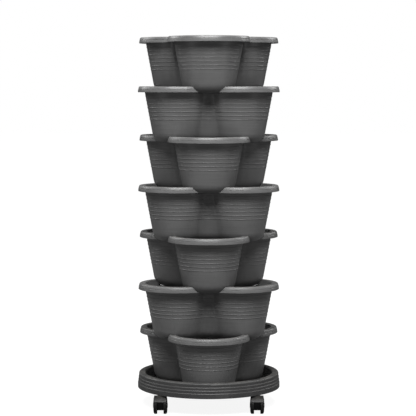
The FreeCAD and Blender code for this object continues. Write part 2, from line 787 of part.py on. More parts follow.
pieces = [addTier(pot, 1)]
pieces += [addTier(stackingPot, tier) for tier in range(2, dimensions["tierCount"] + 1)]
pieces.append(buildTray())
for index in range(1, dimensions["casterCount"] + 1):
    pieces += [addCasterPiece(form, index) for form in casterForms]
document.recompute()
checkModel(pieces)

os.makedirs(outputFolder, exist_ok=True)
for piece in pieces:
    piece.Shape.exportStep(os.path.join(outputFolder, f"{piece.Label}.step"))
    print(f"{piece.Label}: {piece.Shape.Volume / 1000:.1f} cm3")
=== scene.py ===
import json
import math

import bmesh
import bpy
from mathutils import Matrix, Vector

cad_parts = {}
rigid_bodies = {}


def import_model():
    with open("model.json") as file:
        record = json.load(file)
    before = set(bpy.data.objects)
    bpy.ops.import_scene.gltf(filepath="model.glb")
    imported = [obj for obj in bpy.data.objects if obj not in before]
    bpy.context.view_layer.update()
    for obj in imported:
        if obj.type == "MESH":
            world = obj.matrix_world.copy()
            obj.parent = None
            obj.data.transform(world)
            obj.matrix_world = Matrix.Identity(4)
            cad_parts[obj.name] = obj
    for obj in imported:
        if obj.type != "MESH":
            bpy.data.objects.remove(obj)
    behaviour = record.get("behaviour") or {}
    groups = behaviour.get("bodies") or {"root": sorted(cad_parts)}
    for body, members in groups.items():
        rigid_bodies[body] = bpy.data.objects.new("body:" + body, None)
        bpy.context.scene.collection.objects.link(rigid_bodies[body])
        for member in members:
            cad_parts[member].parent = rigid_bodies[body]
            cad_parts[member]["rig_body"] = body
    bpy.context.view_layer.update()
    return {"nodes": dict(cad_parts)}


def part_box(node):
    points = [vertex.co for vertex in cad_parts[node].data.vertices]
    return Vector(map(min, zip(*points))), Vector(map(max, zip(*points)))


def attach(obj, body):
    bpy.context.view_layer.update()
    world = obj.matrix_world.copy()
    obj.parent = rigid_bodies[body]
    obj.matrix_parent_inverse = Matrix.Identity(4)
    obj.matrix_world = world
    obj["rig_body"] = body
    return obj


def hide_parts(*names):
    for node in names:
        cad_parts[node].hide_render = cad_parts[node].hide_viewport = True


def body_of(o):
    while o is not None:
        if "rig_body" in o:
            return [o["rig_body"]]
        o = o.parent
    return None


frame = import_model()
nodes = frame["nodes"]
tierNames = sorted(name for name in nodes if name.startswith("tier_"))
print("frame loaded:", len(nodes), "pieces")


# Small helpers for node trees, shared by the geometry and the materials.

def addSocket(tree, name, kind, inOut="INPUT", value=None):
    socket = tree.interface.new_socket(name=name, in_out=inOut, socket_type=kind)
    if value is not None:
        socket.default_value = value
    return socket


def plug(tree, socket, source):
    # source is an output socket or a plain value
    if isinstance(source, bpy.types.NodeSocket):
        tree.links.new(source, socket)
    else:
        socket.default_value = source


def doMath(tree, operation, *sources):
    node = tree.nodes.new("ShaderNodeMath")
    node.operation = operation
    for socket, source in zip(node.inputs, sources):
        plug(tree, socket, source)
    return node.outputs[0]


def chooseBy(tree, condition, whenFalse, whenTrue):
    # condition is 0 or 1
    step = doMath(tree, "SUBTRACT", whenTrue, whenFalse)
    return doMath(tree, "MULTIPLY_ADD", condition, step, whenFalse)


# Camera, lights and floor

view = {
    "place": (-0.0018, -3.8055, 0.7651),
    "tilt": math.radians(4.478),  # downwards
    "lens": 139.8,
    "sensor": 36,
    "farEnd": 100,  # beyond the floor's edge
}

# one lamp at each side, turned from the camera's direction; the low strips' shine runs up the walls
lampPairs = {
    "key": {"turn": math.radians(17), "distance": 2.6, "height": 3.25, "size": (1.1, 1.4), "power": 170},
    "strip": {"turn": math.radians(56), "distance": 2.2, "height": 0.8, "size": (0.25, 1.5), "power": 6.5},
    "back": {"turn": math.radians(118), "distance": 2.8, "height": 2.2, "size": (1.0, 1.6), "power": 58},
}

studio = {
    "aim": (0, 0, 0.45),
    "topPlace": (0, -0.6, 4.6),
    "topSize": (2.4, 2.0),
    "topPower": 110,
    "worldLight": 0.03,
    "floorSize": 40,
    "floorColor": (0.12, 0.12, 0.12, 1),
    "floorRoughness": 0.7,
    "floorSpecular": 0.1,
    "white": (1, 1, 1, 1),
    "glow": (0.9, 1.0),  # of the floor near the tower and far off, seen by the camera alone
    "glowReach": (1.0, 5.0),  # distances from the tower's axis
}


def aimAt(item, target):
    item.rotation_euler = (Vector(target) - item.location).to_track_quat("-Z", "Y").to_euler()


def addLight(name, place, target, size, power):
    lamp = bpy.data.lights.new(name, "AREA")
    lamp.shape = "RECTANGLE"
    lamp.size, lamp.size_y = size
    lamp.energy = power
    item = bpy.data.objects.new(name, lamp)
    item.location = place
    aimAt(item, target)
    bpy.context.scene.collection.objects.link(item)


def addCamera():
    lens = bpy.data.cameras.new("camera")
    lens.lens = view["lens"]
    lens.sensor_width = view["sensor"]
    lens.clip_end = view["farEnd"]
    camera = bpy.data.objects.new("camera", lens)
    camera.location = view["place"]
    camera.rotation_euler = (math.pi / 2 - view["tilt"], 0, 0)
    bpy.context.scene.collection.objects.link(camera)
    bpy.context.scene.camera = camera


def addStudio():
    for name, lamp in lampPairs.items():
        for turn in (-lamp["turn"], lamp["turn"]):
            across, along = math.sin(turn), -math.cos(turn)
            place = (lamp["distance"] * across, lamp["distance"] * along, lamp["height"])
            addLight(name + "Light", place, studio["aim"], lamp["size"], lamp["power"])
    addLight("topLight", studio["topPlace"], studio["aim"], studio["topSize"], studio["topPower"])

    world = bpy.data.worlds.new("studio")
    bpy.context.scene.world = world
    world.use_nodes = True
    tree = world.node_tree
    rays = tree.nodes.new("ShaderNodeLightPath")
    shown = doMath(tree, "MAXIMUM", rays.outputs["Is Camera Ray"], rays.outputs["Is Transmission Ray"])
    strength = chooseBy(tree, shown, studio["worldLight"], 1.0)
    background = tree.nodes["Background"]
    background.inputs["Color"].default_value = studio["white"]
    plug(tree, background.inputs["Strength"], strength)


def addFloor():
    half = studio["floorSize"] / 2
    corners = [(-half, -half, 0), (half, -half, 0), (half, half, 0), (-half, half, 0)]
    mesh = bpy.data.meshes.new("floor")
    mesh.from_pydata(corners, [], [range(len(corners))])
    floor = bpy.data.objects.new("floor", mesh)
    bpy.context.scene.collection.objects.link(floor)
    material, tree, shader = newMaterial("paleFloor")
    shader.inputs["Base Color"].default_value = studio["floorColor"]
    shader.inputs["Roughness"].default_value = studio["floorRoughness"]
    shader.inputs["Specular IOR Level"].default_value = studio["floorSpecular"]
    shader.inputs["Emission Color"].default_value = studio["white"]
    rays = tree.nodes.new("ShaderNodeLightPath")
    distance = tree.nodes.new("ShaderNodeVectorMath")
    distance.operation = "LENGTH"
    plug(tree, distance.inputs[0], tree.nodes.new("ShaderNodeTexCoord").outputs["Object"])
    glow = remap(tree, distance.outputs["Value"], *studio["glowReach"], *studio["glow"])
    glow = doMath(tree, "MULTIPLY", rays.outputs["Is Camera Ray"], glow)
    plug(tree, shader.inputs["Emission Strength"], glow)
    mesh.materials.append(material)


# Finishes

def newMaterial(name):
    material = bpy.data.materials.new(name)
    material.use_nodes = True
    tree = material.node_tree
    return material, tree, tree.nodes["Principled BSDF"]


def newShaderGroup(name, inputs, outputs):
    tree = bpy.data.node_groups.new(name, "ShaderNodeTree")
    for label, kind, value in inputs:
        addSocket(tree, label, kind, value=value)
    for label in outputs:
        addSocket(tree, label, "NodeSocketFloat", "OUTPUT")
    return tree, tree.nodes.new("NodeGroupInput").outputs, tree.nodes.new("NodeGroupOutput").inputs


def addNoise(tree, position, scale, detail=2.0):
    noise = tree.nodes.new("ShaderNodeTexNoise")
    plug(tree, noise.inputs["Vector"], position)
    plug(tree, noise.inputs["Scale"], scale)
    noise.inputs["Detail"].default_value = detail
    return noise.outputs[0]


def remap(tree, value, fromLow, fromHigh, toLow=0.0, toHigh=1.0):
    node = tree.nodes.new("ShaderNodeMapRange")
    labels = ("Value", "From Min", "From Max", "To Min", "To Max")
    for label, source in zip(labels, (value, fromLow, fromHigh, toLow, toHigh)):
        plug(tree, node.inputs[label], source)
    return node.outputs[0]


def addBump(tree, shader, height, look):
    bump = tree.nodes.new("ShaderNodeBump")
    bump.inputs["Strength"].default_value = look["bump"]
    bump.inputs["Distance"].default_value = look["bumpDepth"]
    plug(tree, bump.inputs["Height"], height)
    plug(tree, shader.inputs["Normal"], bump.outputs[0])


grainPattern = {
    "lineScale": 16,  # along the lines
    "lineDetail": 3.0,
    "broadScale": 11.0,
    "broadDetail": 3.0,
    "lineTone": 0.6,  # share of the lines in the tone, the rest is broad
}

dustPattern = {
    "upward": (0.3, 0.95),  # the normal's rise at which dust starts and is full
    "scale": 48.0,
    "detail": 5.0,
    "patches": (0.38, 0.68),
}

handlingPattern = {
    "detail": 2.0,
    "patches": (0.56, 0.7),
    "scratchScale": 7.0,  # scratches to a patch
    "scratchWidth": 0.03,
    "scratchShare": 0.8,
}


def makeFlowGrain():
    # fine grain of the mould, and the level lines that the melt left on its way round the wall
    tree, given, result = newShaderGroup("flowGrain", [
        ("Position", "NodeSocketVector", None),
        ("Grain Size", "NodeSocketFloat", 0.0006),
        ("Line Height", "NodeSocketFloat", 0.0012),
        ("Line Share", "NodeSocketFloat", 0.5),
    ], ["Height", "Tone"])
    grain = addNoise(tree, given["Position"], doMath(tree, "DIVIDE", 1.0, given["Grain Size"]))
    stretch = tree.nodes.new("ShaderNodeCombineXYZ")
    for axis in "XY":
        stretch.inputs[axis].default_value = grainPattern["lineScale"]
    plug(tree, stretch.inputs["Z"], doMath(tree, "DIVIDE", 1.0, given["Line Height"]))
    drawn = tree.nodes.new("ShaderNodeVectorMath")
    drawn.operation = "MULTIPLY"
    plug(tree, drawn.inputs[0], given["Position"])
    plug(tree, drawn.inputs[1], stretch.outputs[0])
    lines = addNoise(tree, drawn.outputs[0], 1.0, grainPattern["lineDetail"])
    plug(tree, result["Height"], chooseBy(tree, given["Line Share"], grain, lines))
    broad = addNoise(tree, given["Position"], grainPattern["broadScale"], grainPattern["broadDetail"])
    broad = doMath(tree, "MULTIPLY", broad, 1 - grainPattern["lineTone"])
    plug(tree, result["Tone"], doMath(tree, "MULTIPLY_ADD", lines, grainPattern["lineTone"], broad))
    return tree


def makeSettledDust():
    # faces that look up gather dust in patches
    tree, given, result = newShaderGroup("settledDust", [
        ("Position", "NodeSocketVector", None),
        ("Amount", "NodeSocketFloat", 0.3),
    ], ["Mask"])
    parts = tree.nodes.new("ShaderNodeSeparateXYZ")
    plug(tree, parts.inputs[0], tree.nodes.new("ShaderNodeNewGeometry").outputs["Normal"])
    upward = remap(tree, parts.outputs["Z"], *dustPattern["upward"])
    noise = addNoise(tree, given["Position"], dustPattern["scale"], dustPattern["detail"])
    patches = remap(tree, noise, *dustPattern["patches"])
    mask = doMath(tree, "MULTIPLY", upward, patches)
    plug(tree, result["Mask"], doMath(tree, "MULTIPLY", mask, given["Amount"]))
    return tree


def makeHandling():
    # short dull marks left by hands, tools and other pots
    tree, given, result = newShaderGroup("handling", [
        ("Position", "NodeSocketVector", None),
        ("Size", "NodeSocketFloat", 0.02),
        ("Amount", "NodeSocketFloat", 0.3),
    ], ["Mask"])
    scale = doMath(tree, "DIVIDE", 1.0, given["Size"])
    noise = addNoise(tree, given["Position"], scale, handlingPattern["detail"])
    patches = remap(tree, noise, *handlingPattern["patches"])
    scratch = tree.nodes.new("ShaderNodeTexVoronoi")
    scratch.feature = "DISTANCE_TO_EDGE"
    plug(tree, scratch.inputs["Vector"], given["Position"])
    plug(tree, scratch.inputs["Scale"], doMath(tree, "MULTIPLY", scale, handlingPattern["scratchScale"]))
    thin = remap(tree, scratch.outputs["Distance"], 0.0, handlingPattern["scratchWidth"], 1.0, 0.0)
    share = handlingPattern["scratchShare"]
    marks = doMath(tree, "MULTIPLY_ADD", thin, share, 1 - share)
    mask = doMath(tree, "MULTIPLY", patches, marks)
    plug(tree, result["Mask"], doMath(tree, "MULTIPLY", mask, given["Amount"]))
    return tree


def placeGroup(tree, group, position, **values):
    node = tree.nodes.new("ShaderNodeGroup")
    node.node_tree = group
    plug(tree, node.inputs["Position"], position)
    for label, value in values.items():
        node.inputs[label].default_value = value
    return node.outputs


def mixColor(tree, factor, first, second):
    node = tree.nodes.new("ShaderNodeMix")
    node.data_type = "RGBA"
    sockets = {socket.identifier: socket for socket in (*node.inputs, *node.outputs)}
    plug(tree, sockets["Factor_Float"], factor)
    plug(tree, sockets["A_Color"], first)
    plug(tree, sockets["B_Color"], second)
    return sockets["Result_Color"]


plastic = {
    "tone": (0.35, 0.65),  # the grain's range that runs from dark to light
    "height": (0.3, 0.7),  # the grain's range that runs from glossy to dull
    "marksDull": 0.2,
    "dustDull": 0.3,
}


def makePlastic(name, look, groups):
    material, tree, shader = newMaterial(name)
    position = tree.nodes.new("ShaderNodeTexCoord").outputs["Object"]
    skin = placeGroup(tree, groups["flowGrain"], position, **look["skin"])
    dust = placeGroup(tree, groups["settledDust"], position, Amount=look["dust"])["Mask"]
    handled = {"Size": look["markSize"], "Amount": look["marks"]}
    marks = placeGroup(tree, groups["handling"], position, **handled)["Mask"]
    color = mixColor(tree, remap(tree, skin["Tone"], *plastic["tone"]), look["dark"], look["light"])
    color = mixColor(tree, marks, color, look["rubbed"])
    color = mixColor(tree, dust, color, look["dustColor"])
    plug(tree, shader.inputs["Base Color"], color)
    roughness = remap(tree, skin["Height"], *plastic["height"], *look["roughness"])
    roughness = doMath(tree, "MULTIPLY_ADD", marks, plastic["marksDull"], roughness)
    roughness = doMath(tree, "MULTIPLY_ADD", dust, plastic["dustDull"], roughness)
    plug(tree, shader.inputs["Roughness"], roughness)
    shader.inputs["Specular IOR Level"].default_value = look["specular"]
    addBump(tree, shader, skin["Height"], look)
    return material


# Geometry of the pot: one profile carried round a three-lobed outline.

def newTree(name):
    tree = bpy.data.node_groups.new(name, "GeometryNodeTree")
    addSocket(tree, "Geometry", "NodeSocketGeometry", "OUTPUT")
    return tree, tree.nodes.new("NodeGroupInput"), tree.nodes.new("NodeGroupOutput")


def makeLobedSweepTree():
    # one column of points for each step round the outline, three times a lobe and a notch
    tree, given, result = newTree("lobedSweep")
    addSocket(tree, "Profile", "NodeSocketObject")
    addSocket(tree, "Profile Points", "NodeSocketInt", value=2)
    addSocket(tree, "Lobe Steps", "NodeSocketInt", value=60)
    addSocket(tree, "Notch Steps", "NodeSocketInt", value=20)
    addSocket(tree, "Lobe Offset", "NodeSocketFloat", value=0.08)
    addSocket(tree, "Lobe Radius", "NodeSocketFloat", value=0.08)
    addSocket(tree, "Notch Radius", "NodeSocketFloat", value=0.02)
    addSocket(tree, "Seam Distance", "NodeSocketFloat", value=0.000001)
    addSocket(tree, "Material", "NodeSocketMaterial")
    value = given.outputs

    def calc(operation, *sources):
        return doMath(tree, operation, *sources)

    # half a lobe's turn, up to where it meets the notch's arc
    third = math.radians(120)
    across = calc("MULTIPLY", value["Lobe Offset"], math.sin(third / 2))
    reach = calc("ADD", value["Lobe Radius"], value["Notch Radius"])
    along = calc("SQRT", calc("SUBTRACT", calc("MULTIPLY", reach, reach), calc("MULTIPLY", across, across)))
    lean = calc("ARCTAN2", across, along)
    halfLobe = calc("ADD", lean, third / 2)

    sectorSteps = calc("ADD", value["Lobe Steps"], value["Notch Steps"])
    grid = tree.nodes.new("GeometryNodeMeshGrid")
    plug(tree, grid.inputs["Vertices X"], calc("MULTIPLY_ADD", sectorSteps, 3.0, 1.0))
    plug(tree, grid.inputs["Vertices Y"], value["Profile Points"])

    # a vertex's place along the profile and round the outline
    index = tree.nodes.new("GeometryNodeInputIndex").outputs[0]
    column = calc("FLOOR", calc("DIVIDE", calc("ADD", index, 0.5), value["Profile Points"]))
    row = calc("SUBTRACT", index, calc("MULTIPLY", column, value["Profile Points"]))
    sector = calc("FLOOR", calc("DIVIDE", calc("ADD", column, 0.5), sectorSteps))
    step = calc("SUBTRACT", column, calc("MULTIPLY", sector, sectorSteps))
    inNotch = calc("GREATER_THAN", calc("ADD", step, 0.5), value["Lobe Steps"])

    lobeShare = calc("DIVIDE", step, value["Lobe Steps"])
    lobeTurn = calc("MULTIPLY", halfLobe, calc("MULTIPLY_ADD", lobeShare, 2.0, -1.0))
    notchShare = calc("DIVIDE", calc("SUBTRACT", step, value["Lobe Steps"]), value["Notch Steps"])
    notchTurn = calc("SUBTRACT", halfLobe, calc("MULTIPLY", calc("MULTIPLY", lean, 2.0), notchShare))
    sectorTurn = calc("MULTIPLY_ADD", sector, third, math.radians(-90))
    turn = calc("ADD", chooseBy(tree, inNotch, lobeTurn, notchTurn), sectorTurn)
    notchDistance = calc("MULTIPLY_ADD", value["Lobe Offset"], 0.5, along)
    centreDistance = chooseBy(tree, inNotch, value["Lobe Offset"], notchDistance)
    centreTurn = calc("MULTIPLY_ADD", inNotch, third / 2, sectorTurn)
    radius = chooseBy(tree, inNotch, value["Lobe Radius"], calc("MULTIPLY", value["Notch Radius"], -1.0))

    outline = tree.nodes.new("GeometryNodeObjectInfo")
    plug(tree, outline.inputs["Object"], value["Profile"])
    sample = tree.nodes.new("GeometryNodeSampleIndex")
    sample.data_type = "FLOAT_VECTOR"
    plug(tree, sample.inputs["Geometry"], outline.outputs["Geometry"])
    plug(tree, sample.inputs["Value"], tree.nodes.new("GeometryNodeInputPosition").outputs[0])
    plug(tree, sample.inputs["Index"], row)
    parts = tree.nodes.new("ShaderNodeSeparateXYZ")
    plug(tree, parts.inputs[0], sample.outputs["Value"])

    out = calc("ADD", radius, parts.outputs["X"])
    place = tree.nodes.new("ShaderNodeCombineXYZ")
    for axis, wave in (("X", "COSINE"), ("Y", "SINE")):
        centre = calc("MULTIPLY", centreDistance, calc(wave, centreTurn))
        plug(tree, place.inputs[axis], calc("MULTIPLY_ADD", out, calc(wave, turn), centre))
    plug(tree, place.inputs["Z"], parts.outputs["Z"])

    move = tree.nodes.new("GeometryNodeSetPosition")
    plug(tree, move.inputs["Geometry"], grid.outputs["Mesh"])
    plug(tree, move.inputs["Position"], place.outputs[0])
    # the last column meets the first
    weld = tree.nodes.new("GeometryNodeMergeByDistance")
    plug(tree, weld.inputs["Geometry"], move.outputs["Geometry"])
    plug(tree, weld.inputs["Distance"], value["Seam Distance"])
    finishTree(tree, weld.outputs["Geometry"], value["Material"], result)
    return tree


def finishTree(tree, geometry, material, result):
    # instances become plain meshes; the export keeps real meshes alone
    real = tree.nodes.new("GeometryNodeRealizeInstances")
    plug(tree, real.inputs["Geometry"], geometry)
    paint = tree.nodes.new("GeometryNodeSetMaterial")
    plug(tree, paint.inputs["Geometry"], real.outputs["Geometry"])
    plug(tree, paint.inputs["Material"], material)
    plug(tree, result.inputs["Geometry"], paint.outputs["Geometry"])


def evaluateTree(name, tree, **inputs):
    # the tree's result as a plain mesh object
    holder = bpy.data.objects.new(name, bpy.data.meshes.new(name))
    bpy.context.scene.collection.objects.link(holder)
    modifier = holder.modifiers.new(name, "NODES")
    modifier.node_group = tree
    wanted = {key.lower(): value for key, value in inputs.items()}
    for item in tree.interface.items_tree:
        key = item.name.replace(" ", "").lower()
        if item.in_out == "INPUT" and key in wanted:
            modifier[item.identifier] = wanted[key]
    bpy.context.view_layer.update()
    depsgraph = bpy.context.evaluated_depsgraph_get()
    mesh = bpy.data.meshes.new_from_object(holder.evaluated_get(depsgraph))
    holder.modifiers.clear()
    holder.data = mesh
    return holder


def traceCorners(corners, stepAngle=math.radians(12)):
    # polyline through corners (across, up, rounding)
    points = [Vector(corner[:2]) for corner in corners]
    traced = [points[0]]
    for index in range(1, len(corners) - 1):
        corner = points[index]
        radius = corners[index][2]
        toBefore = (points[index - 1] - corner).normalized()
        toAfter = (points[index + 1] - corner).normalized()
        half = toBefore.angle(toAfter) / 2
        if radius == 0:
            traced.append(corner)
            continue
        centre = corner + (toBefore + toAfter).normalized() * (radius / math.sin(half))
        first = corner + toBefore * (radius / math.tan(half)) - centre
        last = corner + toAfter * (radius / math.tan(half)) - centre
        sweep = first.angle_signed(last)
        steps = max(2, math.ceil(abs(sweep) / stepAngle))
        for step in range(steps + 1):
            traced.append(centre + Matrix.Rotation(-sweep * step / steps, 2) @ first)
    traced.append(points[-1])
    return traced


def makeLineObject(name, points):
    mesh = bpy.data.meshes.new(name)
    mesh.from_pydata([(point.x, 0, point.y) for point in points], [], [])
    line = bpy.data.objects.new(name, mesh)
    bpy.context.scene.collection.objects.link(line)
    return line


def removeObject(item):
    bpy.data.objects.remove(item)


def cutAway(piece, cutter, operation="DIFFERENCE"):
    modifier = piece.modifiers.new("cut", "BOOLEAN")
    modifier.operation = operation
    modifier.solver = "EXACT"
    modifier.object = cutter
    bpy.context.view_layer.update()
    depsgraph = bpy.context.evaluated_depsgraph_get()
    mesh = bpy.data.meshes.new_from_object(piece.evaluated_get(depsgraph))
    piece.modifiers.clear()
    piece.data = mesh
    removeObject(cutter)


def meshObject(name, form):
    # bmesh to object
    mesh = bpy.data.meshes.new(name)
    form.to_mesh(mesh)
    form.free()
    piece = bpy.data.objects.new(name, mesh)
    bpy.context.scene.collection.objects.link(piece)
    return piece


weldDistance = 0.00001  # corners that lie closer are one


def weldSeams(piece):
    # one vertex where the cuts, or the CAD faces, left several
    form = bmesh.new()
    form.from_mesh(piece.data)
    bmesh.ops.remove_doubles(form, verts=form.verts, dist=weldDistance)
    form.to_mesh(piece.data)
    form.free()


def paint(piece, material):
    piece.data.materials.clear()
    piece.data.materials.append(material)
    piece.data.polygons.foreach_set("material_index", [0] * len(piece.data.polygons))


def shadeByAngle(piece, angle=math.radians(35)):
    piece.data.shade_smooth()
    piece.data.set_sharp_from_angle(angle=angle)


def spinClosed(form, points, steps, centre=Vector((0, 0, 0))):
    # closed solid of revolution about an upright axis, whose profile starts and ends on the axis
    rings = []
    for step in range(steps):
        turn = 2 * math.pi * step / steps
        ring = []
        for point in points[1:-1]:
            place = centre + Vector((point.x * math.cos(turn), point.x * math.sin(turn), point.y))
            ring.append(form.verts.new(place))
        rings.append(ring)
    ends = [form.verts.new(centre + Vector((0, 0, point.y))) for point in (points[0], points[-1])]
    for step in range(steps):
        here = rings[step]
        there = rings[(step + 1) % steps]
        form.faces.new((ends[0], there[0], here[0]))
        for low in range(len(here) - 1):
            form.faces.new((here[low], there[low], there[low + 1], here[low + 1]))
        form.faces.new((ends[1], here[-1], there[-1]))


# Pots

pot = {
    "lobeTurn": math.radians(120),  # from lobe to lobe
    "lobeOffset": 0.080,  # pot's axis to a lobe's axis
    "lobeRadius": 0.082,  # at the rim
    "height": 0.131,
    "draft": math.radians(10.5),
    "wall": 0.0025,
    "bowlRound": 0.028,
    "floorOverlap": 0.004,  # flat ring between the bowl's rounding and the floor
    "lipReach": 0.0136,
    "lipHeight": 0.0135,
    "lipBand": 0.0065,  # the lower band's height
    "lipLean": math.radians(6),  # of the lower band
    "lipSlope": math.radians(17),  # of the upper band
    "lipGroove": 0.0009,  # depth, between the two bands
    "lipGrooveHeight": 0.0012,
    "lipWall": 0.0022,
    "lipRound": 0.0024,
    "lipNotch": 0.003,  # inner corner of the lip
    "edgeRound": 0.0006,
    "ribs": 7,
    "ribStart": 0.054,
    "ribPitch": 0.0088,
    "ribHeight": 0.0024,
    "ribRelief": 0.0005,
    "ribEdge": 0.0002,  # height of a rib's slanted edge
    "ribRound": 0.0004,
    "lobeSteps": 72,
    "notchSteps": 20,
}


def potWallAt(level):
    # outer wall's offset from the outline at the rim
    return -(pot["height"] - level) * math.tan(pot["draft"])


def potProfile():
    height = pot["height"]
    slope = math.tan(pot["draft"])
    edge = pot["edgeRound"]
    sideWall = pot["wall"] / math.cos(pot["draft"])
    floorEdge = potWallAt(0) - pot["bowlRound"] * math.tan((math.pi / 2 - pot["draft"]) / 2)
    inward = floorEdge - pot["floorOverlap"]
    corners = [(inward, 0, 0), (potWallAt(0), 0, pot["bowlRound"])]
    for rib in range(pot["ribs"]):
        low = pot["ribStart"] + rib * pot["ribPitch"]
        high = low + pot["ribHeight"]
        relief = pot["ribRelief"]
        corners.append((potWallAt(low), low, 0))
        corners.append((potWallAt(low) + relief, low + pot["ribEdge"], pot["ribRound"]))
        corners.append((potWallAt(high) + relief, high - pot["ribEdge"], pot["ribRound"]))
        corners.append((potWallAt(high), high, 0))
    lipFoot = height - pot["lipHeight"]
    hollowTop = height - pot["lipWall"]
    bandTop = lipFoot + pot["lipBand"]
    bandReach = pot["lipReach"] - pot["lipBand"] * math.tan(pot["lipLean"])
    topReach = bandReach - (height - bandTop) * math.tan(pot["lipSlope"])
    hollowReach = pot["lipReach"] - pot["lipWall"]
    corners.append((potWallAt(hollowTop), hollowTop, edge))
    corners.append((topReach - pot["lipWall"], hollowTop, edge))
    corners.append((hollowReach, lipFoot, edge))
    corners.append((pot["lipReach"], lipFoot, edge))
    corners.append((bandReach, bandTop, edge / 2))
    corners.append((bandReach - pot["lipGroove"], bandTop + pot["lipGrooveHeight"] / 2, 0))
    corners.append((bandReach - pot["lipGroove"] / 3, bandTop + pot["lipGrooveHeight"], edge / 2))
    corners.append((topReach, height, pot["lipRound"]))
    corners.append((-sideWall, height, edge))
    innerFoot = -sideWall - (height - pot["wall"]) * slope
    corners.append((innerFoot, pot["wall"], pot["bowlRound"] - pot["wall"]))
    corners.append((inward, pot["wall"], 0))
    return traceCorners(corners)


def closeFloor(piece, levels):
    # fills the open ring at each level of the floor
    form = bmesh.new()
    form.from_mesh(piece.data)
    for level, upwards in levels:
        rim = [edge for edge in form.edges if edge.is_boundary
               and all(abs(vertex.co.z - level) < weldDistance for vertex in edge.verts)]
        made = bmesh.ops.edgeloop_fill(form, edges=rim)["faces"]
        for face in made:
            face.normal_update()
            if (face.normal.z > 0) != upwards:
                face.normal_flip()
    form.to_mesh(piece.data)
    form.free()


seat = {
    "depth": 0.0165,  # how far the pot above stands inside the rim
    "gap": 0.0003,  # air under the pot above
    "saddleGap": 0.0004,  # air round the lobe above
    "saddleTop": 0.02,  # cutter's height over the rim
    "ledgeWidth": 0.012,
    "ledgeThickness": 0.003,
    "ledgeSpread": math.radians(76),
    "ledgeSteps": 20,
    "roundSteps": 16,  # of the saddle's rounding
    "spinSteps": 144,
    "turns": [math.radians(angle) for angle in (-30, 90, 210)],  # of the lobes above
}

drain = {
    "radius": 0.0035,
    "side": 0.011,  # from a lobe's middle line
    "distances": (0.048, 0.066),  # from the pot's axis
    "steps": 28,
}


def seatLevel():
    return pot["height"] - seat["depth"]


def makeSaddleCutter():
    # three lobes of the pot above, grown by the saddle's gap
    level = seatLevel()
    baseLobe = pot["lobeRadius"] + potWallAt(0)
    across = baseLobe - pot["bowlRound"] * math.tan((math.pi / 2 - pot["draft"]) / 2)
    centre = Vector((across, level + seat["gap"] + pot["bowlRound"]))
    radius = pot["bowlRound"] + seat["saddleGap"]
    first = -math.asin((centre.y - level) / radius)
    last = -pot["draft"]
    steps = seat["roundSteps"]
    points = [Vector((0, level))]
    for step in range(steps + 1):
        turn = first + (last - first) * step / steps
        points.append(centre + radius * Vector((math.cos(turn), math.sin(turn))))
    top = pot["height"] + seat["saddleTop"]
    points.append(Vector((points[-1].x + (top - points[-1].y) * math.tan(pot["draft"]), top)))
    points.append(Vector((0, top)))
    form = bmesh.new()
    for turn in seat["turns"]:
        place = Vector((math.cos(turn), math.sin(turn), 0)) * pot["lobeOffset"]
        spinClosed(form, points, seat["spinSteps"], place)
    return meshObject("saddleCutter", form)


def makeLedges():
    # a piece of a ring over each notch, its top left above the seat for the saddle to trim
    form = bmesh.new()
    notch = pot["lipNotch"] + pot["lipReach"]
    across = pot["lobeOffset"] * math.sin(pot["lobeTurn"] / 2)
    distance = pot["lobeOffset"] / 2 + math.sqrt((pot["lobeRadius"] + notch) ** 2 - across ** 2)
    sideWall = pot["wall"] / math.cos(pot["draft"])
    inner = notch + (seat["depth"] + seat["ledgeThickness"]) * math.tan(pot["draft"]) + sideWall / 2
    low = seatLevel() - seat["ledgeThickness"]
    high = seatLevel() + seat["ledgeThickness"]
    for turn in seat["turns"]:
        centre = Vector((math.cos(turn), math.sin(turn), 0)) * distance
        loop = []
        for radius, direction in ((inner, 1), (inner + seat["ledgeWidth"], -1)):
            for step in range(seat["ledgeSteps"] + 1):
                share = direction * (step / seat["ledgeSteps"] - 0.5)
                angle = turn + math.pi + share * seat["ledgeSpread"]
                loop.append(centre + radius * Vector((math.cos(angle), math.sin(angle), 0)))
        bottom = [form.verts.new(point + Vector((0, 0, low))) for point in loop]
        top = [form.verts.new(point + Vector((0, 0, high))) for point in loop]
        form.faces.new(bottom)
        form.faces.new(top[::-1])
        for index in range(len(loop)):
            after = (index + 1) % len(loop)
            form.faces.new((bottom[index], top[index], top[after], bottom[after]))
    bmesh.ops.recalc_face_normals(form, faces=form.faces)
    return meshObject("ledges", form)


def makeDrainCutter():
    form = bmesh.new()
    reach = pot["wall"] * 2
    radius = drain["radius"]
    points = [Vector(point) for point in ((0, -reach), (radius, -reach), (radius, reach), (0, reach))]
    for lobe in range(3):
        spin = Matrix.Rotation(pot["lobeTurn"] * lobe, 3, "Z")
        for side in (-drain["side"], drain["side"]):
            for distance in drain["distances"]:
                spinClosed(form, points, drain["steps"], spin @ Vector((side, -distance, 0)))
    return meshObject("drainCutter", form)


def makePotForm(name, tree, material, isStacking):
    points = potProfile()
    profile = makeLineObject("potProfile", points)
    sizes = {key: pot[key] for key in ("lobeSteps", "notchSteps", "lobeOffset", "lobeRadius")}
    notchRadius = pot["lipNotch"] + pot["lipReach"]
    piece = evaluateTree(name, tree, profile=profile, profilePoints=len(points), notchRadius=notchRadius,
                         material=material, **sizes)
    removeObject(profile)
    closeFloor(piece, ((0, False), (pot["wall"], True)))
    if isStacking:
        cutAway(piece, makeLedges(), "UNION")
        cutAway(piece, makeSaddleCutter())
    cutAway(piece, makeDrainCutter())
    weldSeams(piece)
    paint(piece, material)
    shadeByAngle(piece)
    return piece


